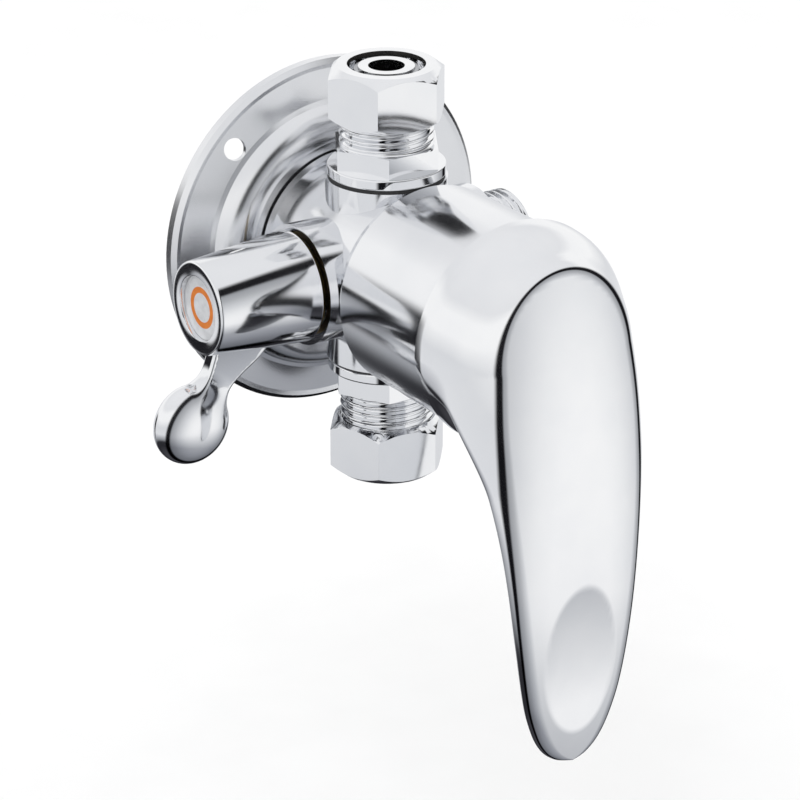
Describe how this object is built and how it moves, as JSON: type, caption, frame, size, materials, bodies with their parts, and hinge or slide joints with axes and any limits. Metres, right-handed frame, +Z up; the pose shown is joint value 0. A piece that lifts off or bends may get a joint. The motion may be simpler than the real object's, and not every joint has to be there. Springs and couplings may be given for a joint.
{
  "type": "exposed shower mixing valve",
  "caption": "Wall-mounted chrome single-lever shower mixing valve with pipe unions above and below, a threaded side outlet and a quarter-turn side knob.",
  "frame": {"origin": "centre of the flange's back plane, on the main axis, where the valve meets the wall", "axes": "+Y into the wall, +Z up, +X towards the outlet; the lever stands out towards -Y"},
  "size_m": [0.1006, 0.1033, 0.1384],
  "materials": {
    "chrome": "bright polished plating",
    "brass": "machined",
    "rubber": "matt black",
    "ceramic": "lapped",
    "cartridge_plastic": "moulded grey",
    "steel": "stainless",
    "plug_plastic": "moulded silver grey",
    "index_cap": "satin silver with an orange ring"
  },
  "bodies": {
    "body": {"valve_body": "chrome", "wall_flange": "chrome", "flange_gasket": "rubber", "flange_lock_nut": "brass", "hot_gasket": "rubber", "hot_nipple": "chrome", "hot_seal": "rubber", "hot_ferrule": "steel", "hot_nut": "chrome", "cold_gasket": "rubber", "cold_nipple": "chrome", "cold_seal": "rubber", "cold_ferrule": "steel", "cold_nut": "chrome", "cartridge_base": "cartridge_plastic", "cartridge_seals": "rubber", "fixed_disc": "ceramic", "cartridge_housing": "cartridge_plastic", "retaining_nut": "brass", "dome_cover": "chrome", "side_seat_seal": "rubber", "side_fixed_disc": "ceramic", "side_bonnet": "brass", "side_bonnet_seal": "rubber", "side_spindle_ring": "rubber"},
    "rotor": {"cartridge_rotor": "cartridge_plastic", "pivot_pin": "steel"},
    "disc": {"disc_carrier": "cartridge_plastic", "moving_disc": "ceramic"},
    "lever": {"stem": "brass", "handle": "chrome", "handle_grub_screw": "steel", "handle_hole_plug": "plug_plastic"},
    "side_lever": {"side_spindle": "brass", "side_moving_disc": "ceramic", "side_handle": "chrome", "side_handle_screw": "steel", "side_index_cap": "index_cap"}
  },
  "joints": [
    {"name": "handle_swivel", "type": "hinge", "parent": "body", "child": "rotor", "pos_m": [0, -0.064, 0], "axis": [0, -1, 0], "range_deg": [-45, 45]},
    {"name": "handle_lift", "type": "hinge", "parent": "rotor", "child": "lever", "pos_m": [0, -0.064, 0], "axis": [-1, 0, 0], "range_deg": [0, 25]},
    {"name": "disc_slide", "type": "slide", "parent": "rotor", "child": "disc", "axis": [0, 0, -1], "range_m": [0, 0.0029]},
    {"name": "side_lever_turn", "type": "hinge", "parent": "body", "child": "side_lever", "pos_m": [-0.0245, -0.0273, 0], "axis": [-1, 0, 0], "range_deg": [0, 90]}
  ],
  "couplings": [
    {"joint": "disc_slide", "follows": "handle_lift", "m_per_rad": 0.006586}
  ]
}
